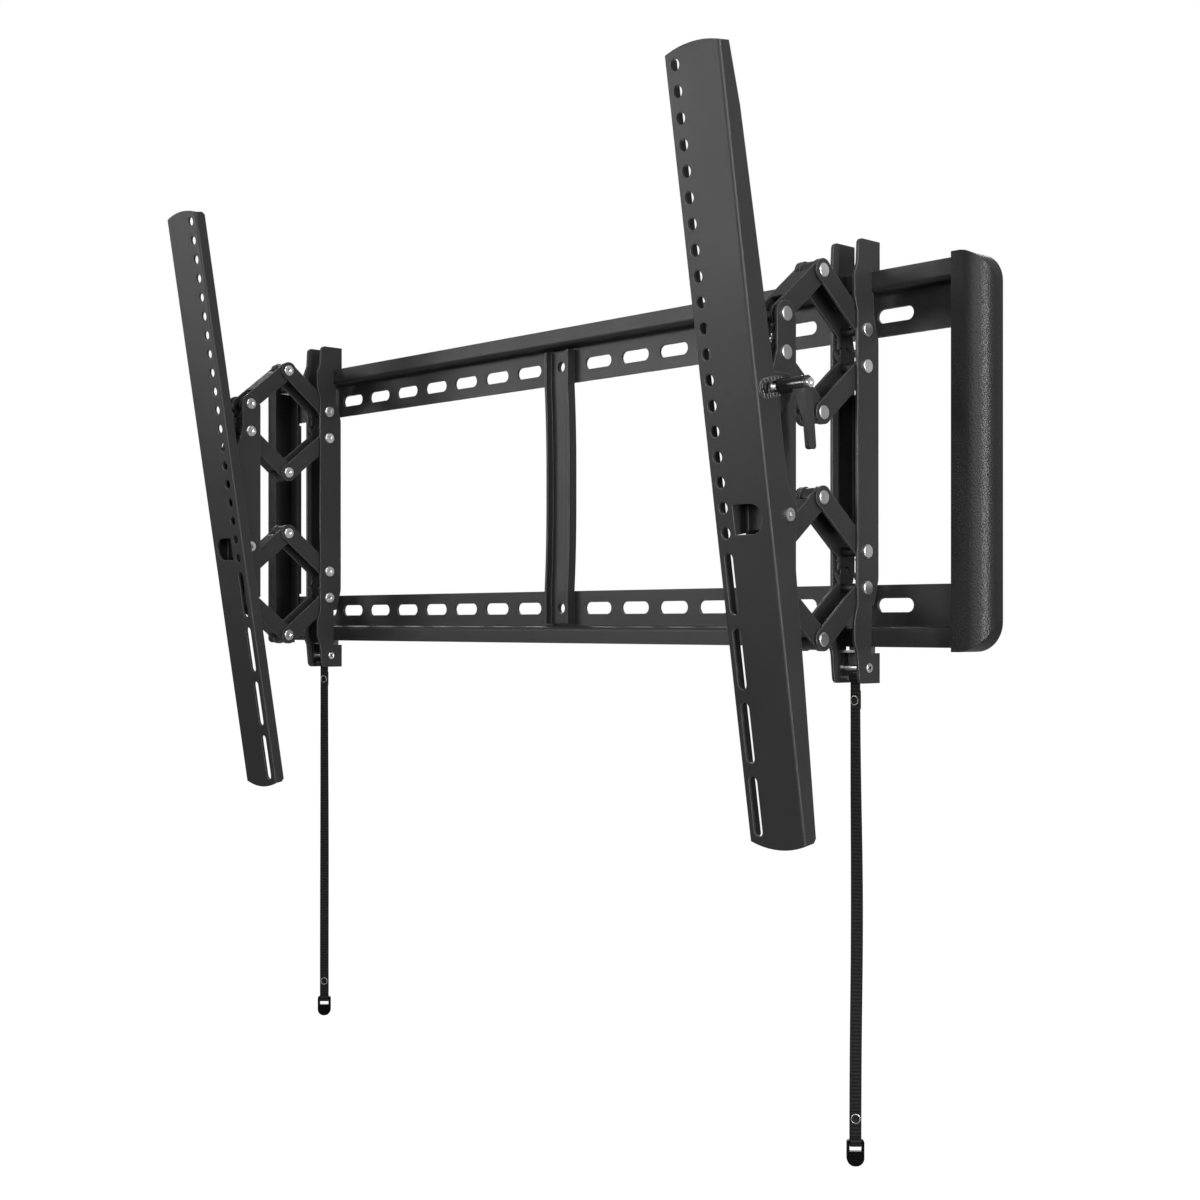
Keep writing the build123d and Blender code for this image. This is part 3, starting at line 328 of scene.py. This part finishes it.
def woven_webbing():
    material, shader, place = start_material("woven_webbing")
    flat = place.node("ShaderNodeUVMap", settings={"uv_map": WEAVE_MAP})
    across = place.node("ShaderNodeSeparateXYZ", "X", Vector=flat)
    along = place.node("ShaderNodeSeparateXYZ", "Y", Vector=flat)
    fuzz = place.node("ShaderNodeTexNoise", Vector=place, Scale=FUZZ_SCALE, Detail=2.0)
    ribs = (along * (2 * math.pi / THREAD_ALONG)).sine()
    threads = (across * (2 * math.pi / THREAD_ACROSS)).sine()
    height = 0.5 + ribs * 0.34 + ribs * threads * 0.16
    # the hollows of the weave get the darker grey: painted shade
    tone = height.mix_colours(grey(HOLLOW_SHADE_BLACK), grey(RIB_BLACK))
    place.plug(tone, shader.inputs["Base Color"])
    place.plug(0.82 - height * 0.25 + fuzz * 0.05, shader.inputs["Roughness"])
    shader.inputs["Specular IOR Level"].default_value = 0.1
    bump = place.node("ShaderNodeBump", Height=height + fuzz * 0.3, Strength=0.5, Distance=0.0003)
    place.plug(bump, shader.inputs["Normal"])
    return material


webbing = woven_webbing()
print("made", webbing.name)

# %% [markdown]
# A press stud closes each end of a strap on itself. It is a thin pressed ring with a dark lacquer
# that has rubbed off its rim, so the metal shows bright where it stands highest. The stud's own flat
# map holds the distance from its middle, and a peak at the rim's radius picks out the bare ring.

# %% Lacquered press stud
RIM_SHARE = 0.84
RIM_FALL = 10.0
RUB_SCALE = 420.0
LACQUER_BLACK = 0.004
RIM_STEEL = (0.50, 0.50, 0.49, 1)


def stud_lacquer():
    material, shader, place = start_material("rubbed_stud_lacquer")
    flat = place.node("ShaderNodeUVMap", settings={"uv_map": WEAVE_MAP})
    radius = place.node("ShaderNodeSeparateXYZ", "X", Vector=flat)
    rub = place.node("ShaderNodeTexNoise", Vector=place, Scale=RUB_SCALE, Detail=3.0)
    ring = (1.0 - place.math("ABSOLUTE", radius - RIM_SHARE) * RIM_FALL).held()
    bare = (ring * (rub * 2.2 - 0.4)).held()
    tone = bare.mix_colours(grey(LACQUER_BLACK), RIM_STEEL)
    place.plug(tone, shader.inputs["Base Color"])
    place.plug(bare, shader.inputs["Metallic"])
    place.plug(0.46 - bare * 0.20, shader.inputs["Roughness"])
    shader.inputs["Specular IOR Level"].default_value = 0.1
    bump = place.node("ShaderNodeBump", Height=rub, Strength=0.08, Distance=0.0002)
    place.plug(bump, shader.inputs["Normal"])
    return material


stud_dark = stud_lacquer()
print("made", stud_dark.name)

# %% [markdown]
# Each solid came in with one plain colour. The names say what each piece is, so the finish is chosen
# by name, and every surface of the bracket is covered.

# %% Give each steel and plastic piece its finish
FINISHES = (
    ("front_pivot_rivet", front_rivet),
    ("tilt_pivot_rivet", bright_zinc),
    ("rivet", link_rivet),
    ("stud", bright_zinc),
    ("screw", bright_zinc),
    ("latch_pin", bright_zinc),
    ("latch", dull_zinc),
    ("end_cover", cover_plastic),
    ("pull_tab", tab_plastic),
    ("pull_strap", webbing),
    ("clamp_lever", lever_gloss),
)
for name, piece in nodes.items():
    finish = next((made for word, made in FINISHES if word in name), black_coat)
    piece.data.materials.clear()
    piece.data.materials.append(finish)
print("finished", len(nodes), "pieces")

# %% [markdown]
# A strap hangs from each latch. Its line is one smooth curve that hangs almost straight, with the
# slight lean that a strap keeps from being folded in its box. The webbing is a flat tube of mesh that
# follows points read from that curve. The right strap leaves its latch square to the bracket and the
# left one a little askew. Both have turned an eighth of a circle near the tab, as loose webbing does.

# %% The line that a strap hangs along
STRAP_Y = -0.024
STRAP_TOP = -0.1828
STRAP_FOOT = -0.5619
STRAP_SWAY = 0.0012
STRAP_RUN_IN = 0.060
STRAP_TURN = math.radians(45)
TOP_TURN = {"right": 0.0, "left": math.radians(24)}
TURN_LENGTH = 0.300


def strap_line(sign):
    curve = bpy.data.curves.new("strap_line", "CURVE")
    curve.dimensions = "3D"
    spline = curve.splines.new("NURBS")
    heights = (STRAP_TOP, STRAP_TOP - STRAP_RUN_IN, (STRAP_TOP + STRAP_FOOT) / 2,
               STRAP_FOOT + STRAP_RUN_IN, STRAP_FOOT)
    leans = (0, 0, STRAP_SWAY, 0, 0)
    spline.points.add(len(heights) - 1)
    for point, height, lean in zip(spline.points, heights, leans):
        point.co = (sign * (SIDE_X + lean), STRAP_Y + lean, height, 1)
    spline.order_u = 3
    spline.use_endpoint_u = True
    spline.resolution_u = 24
    holder = bpy.data.objects.new("strap_line", curve)
    drawn = bpy.data.meshes.new_from_object(holder)
    points = [vertex.co.copy() for vertex in drawn.vertices]
    bpy.data.objects.remove(holder)
    bpy.data.meshes.remove(drawn)
    return points


lines = {"right": strap_line(1), "left": strap_line(-1)}
print("each line has", len(lines["right"]), "points")

# %% [markdown]
# The tube has a soft-edged flat section. Each ring of it is set square to the hanging line, and the
# flat map is written at the same time: metres across the strap, and metres along it.

# %% Webbing along a line
STRAP_WIDTH = 0.010
STRAP_THICK = 0.0014
SECTION = ((0.5, 0.1), (0.42, 0.5), (-0.42, 0.5), (-0.5, 0.1), (-0.5, -0.1), (-0.42, -0.5), (0.42, -0.5),
           (0.5, -0.1))


def turning(first):
    def turn_at(run):
        share = min(run / TURN_LENGTH, 1.0)
        return first + (STRAP_TURN - first) * share * share * (3 - 2 * share)

    return turn_at


def mesh_piece(name, shape, material):
    bmesh.ops.recalc_face_normals(shape, faces=shape.faces)
    mesh = bpy.data.meshes.new(name)
    shape.to_mesh(mesh)
    shape.free()
    mesh.materials.append(material)
    piece = bpy.data.objects.new(name, mesh)
    bpy.context.scene.collection.objects.link(piece)
    return piece


def webbing_tube(name, points, turn, width, thick):
    shape = bmesh.new()
    flat_map = shape.loops.layers.uv.new(WEAVE_MAP)
    rings, runs = [], []
    run = 0.0
    for number, point in enumerate(points):
        if number:
            run += (point - points[number - 1]).length
        before, after = points[max(number - 1, 0)], points[min(number + 1, len(points) - 1)]
        forward = (after - before).normalized()
        angle = turn(run)
        across = Vector((math.cos(angle), math.sin(angle), 0))
        across = (across - across.dot(forward) * forward).normalized()
        outward = across.cross(forward)
        corners = [point + across * (width * u) + outward * (thick * v) for u, v in SECTION]
        rings.append([shape.verts.new(corner) for corner in corners])
        runs.append(run)
    for low in range(len(rings) - 1):
        for corner in range(len(SECTION)):
            after = (corner + 1) % len(SECTION)
            order = ((low, corner), (low, after), (low + 1, after), (low + 1, corner))
            face = shape.faces.new([rings[ring][place] for ring, place in order])
            for loop, (ring, place) in zip(face.loops, order):
                loop[flat_map].uv = (SECTION[place][0] * width, runs[ring])
    shape.faces.new(rings[0])
    shape.faces.new(rings[-1])
    return mesh_piece(name, shape, webbing)


straps = {}
turns = {side: turning(TOP_TURN[side]) for side in lines}
for side, points in lines.items():
    straps[side] = webbing_tube(f"{side}_woven_strap", points, turns[side], STRAP_WIDTH, STRAP_THICK)
    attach(straps[side], f"{side}_latch")
    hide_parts(f"{side}_pull_strap")
print("wove", len(straps), "straps of", round(STRAP_TOP - STRAP_FOOT, 3), "m")

# %% [markdown]
# At each end the strap goes round a bar and back on itself. The loop round the latch's bar is a ring of
# webbing, and so is the slacker one round the bar of the tab. Both are the same tube, led round an
# oval. The turned-back ends lie behind the strap, and the studs press them to half its thickness.

# %% Loops round the two bars
BAR_Z = -0.180
BAR_HALF = (0.0020, 0.0020)
TAB_BAR_Z = -0.5642
TAB_BAR_HALF = (0.0021, 0.0025)
LOOP_STEPS = 24
DOUBLED = 0.024
PLY_SHARE = 0.5
PLY_INSETS = (0.004, 0.003)
LOOP_EASE = 0.55
LOOP_WIDTH, PLY_WIDTH = STRAP_WIDTH * 0.96, STRAP_WIDTH * 0.98


def loop_piece(name, middle, half_deep, half_high, facing, tail):
    deep = half_deep + STRAP_THICK * LOOP_EASE
    high = half_high + STRAP_THICK * LOOP_EASE
    start = math.pi / 2 if tail > 0 else -math.pi / 2
    points = []
    for step in range(LOOP_STEPS + 1):
        angle = start + 2 * math.pi * step / LOOP_STEPS
        points.append(middle + facing * (deep * math.cos(angle)) + Vector((0, 0, high * math.sin(angle))))
    across = facing.cross(Vector((0, 0, 1)))
    angle = math.atan2(across.y, across.x)
    return webbing_tube(name, points, lambda run: angle, LOOP_WIDTH, STRAP_THICK)


def under_ply(name, points, begin, end, turn):
    kept, runs, run = [], [], 0.0
    for number, point in enumerate(points):
        if number:
            run += (point - points[number - 1]).length
        if begin <= run <= end:
            angle = turn(run)
            back = Vector((-math.sin(angle), math.cos(angle), 0))
            kept.append(point + back * (STRAP_THICK * (1 + PLY_SHARE) / 2))
            runs.append(run)
    first = runs[0]
    return webbing_tube(name, kept, lambda run: turn(first + run), PLY_WIDTH, STRAP_THICK * PLY_SHARE)


loops = {}
for side, sign in (("right", 1), ("left", -1)):
    hang = Vector((sign * SIDE_X, STRAP_Y, 0))
    top_facing = Vector((math.sin(TOP_TURN[side]), -math.cos(TOP_TURN[side]), 0))
    tab_facing = Vector((math.sin(STRAP_TURN), -math.cos(STRAP_TURN), 0))
    whole = STRAP_TOP - STRAP_FOOT
    loops[side] = [
        loop_piece(f"{side}_latch_loop", hang + Vector((0, 0, BAR_Z)), *BAR_HALF, top_facing, -1),
        loop_piece(f"{side}_tab_loop", hang + Vector((0, 0, TAB_BAR_Z)), *TAB_BAR_HALF, tab_facing, 1),
        under_ply(f"{side}_upper_ply", lines[side], PLY_INSETS[0], DOUBLED, turns[side]),
        under_ply(f"{side}_lower_ply", lines[side], whole - DOUBLED, whole - PLY_INSETS[1], turns[side]),
    ]
    for piece in loops[side]:
        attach(piece, f"{side}_latch")
print("looped", sum(len(made) for made in loops.values()), "ends")

# %% [markdown]
# Two press studs hold the doubled ends. A stud has a cap pressed from thin sheet on each side of the
# webbing: one outline turned round its axis, with a rolled rim and a sunk middle.

# %% The cap of a press stud
STUD_RADIUS = 0.0044
STUD_RISE = 0.0011
STUD_OUTLINE = ((0.50, 0.15), (0.62, 0.30), (0.70, 0.75), (0.80, 1.0), (0.92, 0.85), (1.0, 0.30), (1.0, -0.2))
STUD_SIDES = 40


def stud_cap(name, middle, outward):
    shape = bmesh.new()
    flat_map = shape.loops.layers.uv.new(WEAVE_MAP)
    across = outward.cross(Vector((0, 0, 1))).normalized()
    up = across.cross(outward).normalized()
    rings = []
    for radius, rise in STUD_OUTLINE:
        ring = []
        for step in range(STUD_SIDES):
            angle = 2 * math.pi * step / STUD_SIDES
            spoke = across * math.cos(angle) + up * math.sin(angle)
            lifted = middle + outward * (rise * STUD_RISE)
            ring.append(shape.verts.new(lifted + spoke * (radius * STUD_RADIUS)))
        rings.append(ring)
    for low in range(len(rings) - 1):
        near, far = STUD_OUTLINE[low][0], STUD_OUTLINE[low + 1][0]
        for step in range(STUD_SIDES):
            after = (step + 1) % STUD_SIDES
            inner, outer = rings[low], rings[low + 1]
            face = shape.faces.new((inner[step], inner[after], outer[after], outer[step]))
            for loop, radius in zip(face.loops, (near, near, far, far)):
                loop[flat_map].uv = (radius, 0)
    shape.faces.new(rings[0])
    shape.faces.new(rings[-1])
    piece = mesh_piece(name, shape, stud_dark)
    for face in piece.data.polygons:
        face.use_smooth = len(face.vertices) == 4
    return piece


print("stud outline of", len(STUD_OUTLINE), "rings")

# %% [markdown]
# A stud sits where its end of the strap is doubled. Its place is found by walking down the hanging
# line, and it faces the way the strap faces there, with one cap in front and one behind.

# %% Press studs on the straps
STUD_DROPS = (0.016, 0.362)


def point_at(points, wanted):
    run = 0.0
    for before, after in zip(points, points[1:]):
        step = (after - before).length
        if run + step >= wanted:
            return before.lerp(after, (wanted - run) / step)
        run += step
    return points[-1]


studs = {}
for side, points in lines.items():
    studs[side] = []
    for place, drop in zip(("upper", "lower"), STUD_DROPS):
        angle = turns[side](drop)
        facing = Vector((math.sin(angle), -math.cos(angle), 0))
        middle = point_at(points, drop)
        for face_name, outward, lift in (("front", facing, 0.5), ("back", -facing, 0.5 + PLY_SHARE)):
            at = middle + outward * (STRAP_THICK * lift)
            made = stud_cap(f"{side}_{place}_stud_{face_name}", at, outward)
            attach(made, f"{side}_latch")
            studs[side].append(made)
print("pressed", sum(len(made) for made in studs.values()), "stud caps")

# %% [markdown]
# A strap is a free length that the tab ends.

print("declared", len(straps), "straps")

# %% [markdown]
# The studio is plain. A real one has a sheet of white paper under and behind the object, and the paper
# would throw white light on black steel from all sides. So the floor is white to the camera and much
# darker to everything else, and black steel gets its shape from what it mirrors.

# %% Floor that is white to the camera
FLOOR_Z = -0.75
FLOOR_HALF = 30.0
FLOOR_GREY = 0.25
FLOOR_SEEN, FLOOR_MIRRORED = 0.90, 0.06
FLOOR_GLOW = 1.12


def pale_floor():
    mesh = bpy.data.meshes.new("floor")
    shape = bmesh.new()
    bmesh.ops.create_grid(shape, x_segments=1, y_segments=1, size=FLOOR_HALF)
    shape.to_mesh(mesh)
    shape.free()
    floor = bpy.data.objects.new("floor", mesh)
    floor.location = (0, 0, FLOOR_Z)
    bpy.context.scene.collection.objects.link(floor)
    material, shader, place = start_material("pale_floor")
    rays = place.tree.nodes.new("ShaderNodeLightPath")
    straight = Flow(place.tree, rays.outputs["Is Camera Ray"])
    mirrored = Flow(place.tree, rays.outputs["Is Glossy Ray"])
    through = Flow(place.tree, rays.outputs["Is Transmission Ray"])
    seen = straight * FLOOR_SEEN + mirrored * FLOOR_MIRRORED + through * FLOOR_SEEN
    shader.inputs["Base Color"].default_value = grey(FLOOR_GREY)
    shader.inputs["Roughness"].default_value = 0.9
    glow = place.node("ShaderNodeEmission", Color=grey(1), Strength=FLOOR_GLOW)
    blend = place.node("ShaderNodeMixShader", Fac=seen)
    joined = blend.socket.node
    place.tree.links.new(shader.outputs[0], joined.inputs[1])
    place.tree.links.new(glow.socket, joined.inputs[2])
    place.tree.links.new(joined.outputs[0], place.tree.nodes["Material Output"].inputs[0])
    mesh.materials.append(material)


pale_floor()
print("floor at", FLOOR_Z, "m")

# %% [markdown]
# The world round the floor works in the same way. To the camera it is white, metal mirrors a small
# share of that white, and its plain light is a soft grey that grows towards the wall, the right and
# the top, so no side of the bracket is lost.

# %% World that is white to the camera
WORLD_MIRRORED = 0.12


def white_world():
    world = bpy.data.worlds.new("studio")
    bpy.context.scene.world = world
    world.use_nodes = True
    tree = world.node_tree
    sky = tree.nodes["Background"]
    facing = Flow(tree, tree.nodes.new("ShaderNodeTexCoord").outputs["Generated"])
    aside = facing.node("ShaderNodeSeparateXYZ", "X", Vector=facing)
    behind = facing.node("ShaderNodeSeparateXYZ", "Y", Vector=facing)
    above = facing.node("ShaderNodeSeparateXYZ", "Z", Vector=facing)
    straight = facing.node("ShaderNodeLightPath", "Is Camera Ray")
    mirrored = facing.node("ShaderNodeLightPath", "Is Glossy Ray")
    through = facing.node("ShaderNodeLightPath", "Is Transmission Ray")
    seen = straight + mirrored * WORLD_MIRRORED + through
    studio = (0.24 + aside * 0.08 + behind * 0.21 + above * 0.06).held()
    sky.inputs["Color"].default_value = grey(1)
    facing.plug(seen + (1.0 - seen) * studio, sky.inputs["Strength"])


white_world()
print("world", bpy.context.scene.world.name)

# %% [markdown]
# Five soft lamps do the rest. A wide one on the left is level with the tops of the arms, so the arms
# shade from top to foot. A tall strip at the right is for the covers and the outer plates, one above
# is for the ledges, one near the camera opens up the hollows, and one behind lights the wall's side.

# %% Soft lamps
LAMPS = {
    "key_lamp": dict(
        place=(-1.32, -1.95, 0.38), aim=(0.05, -0.15, 0.28), size=(1.4, 0.42), power=4.1, spread=60),
    "side_strip": dict(
        place=(1.95, -0.55, 0.05), aim=(0.45, 0, 0), size=(0.14, 2.0), power=14, spread=80),
    "top_lamp": dict(
        place=(0.2, -1.1, 1.9), aim=(0, 0.05, 0.1), size=(2.0, 0.5), power=6, spread=80),
    "fill_lamp": dict(
        place=(1.5, -1.9, 0.5), aim=(0.1, 0, 0), size=(1.6, 1.2), power=15, spread=120),
    "back_lamp": dict(
        place=(-1.5, 1.6, 0.6), aim=(0, 0, 0.05), size=(2.4, 1.4), power=55, spread=110),
}


def soft_lamp(name, place, aim, size, power, spread):
    lamp = bpy.data.lights.new(name, "AREA")
    lamp.shape = "RECTANGLE"
    lamp.size, lamp.size_y = size
    lamp.energy = power
    lamp.spread = math.radians(spread)
    holder = bpy.data.objects.new(name, lamp)
    holder.location = place
    holder.rotation_euler = (Vector(aim) - Vector(place)).to_track_quat("-Z", "Y").to_euler()
    bpy.context.scene.collection.objects.link(holder)


for name, lamp in LAMPS.items():
    soft_lamp(name, **lamp)
print("studio lit by", len(LAMPS), "lamps")
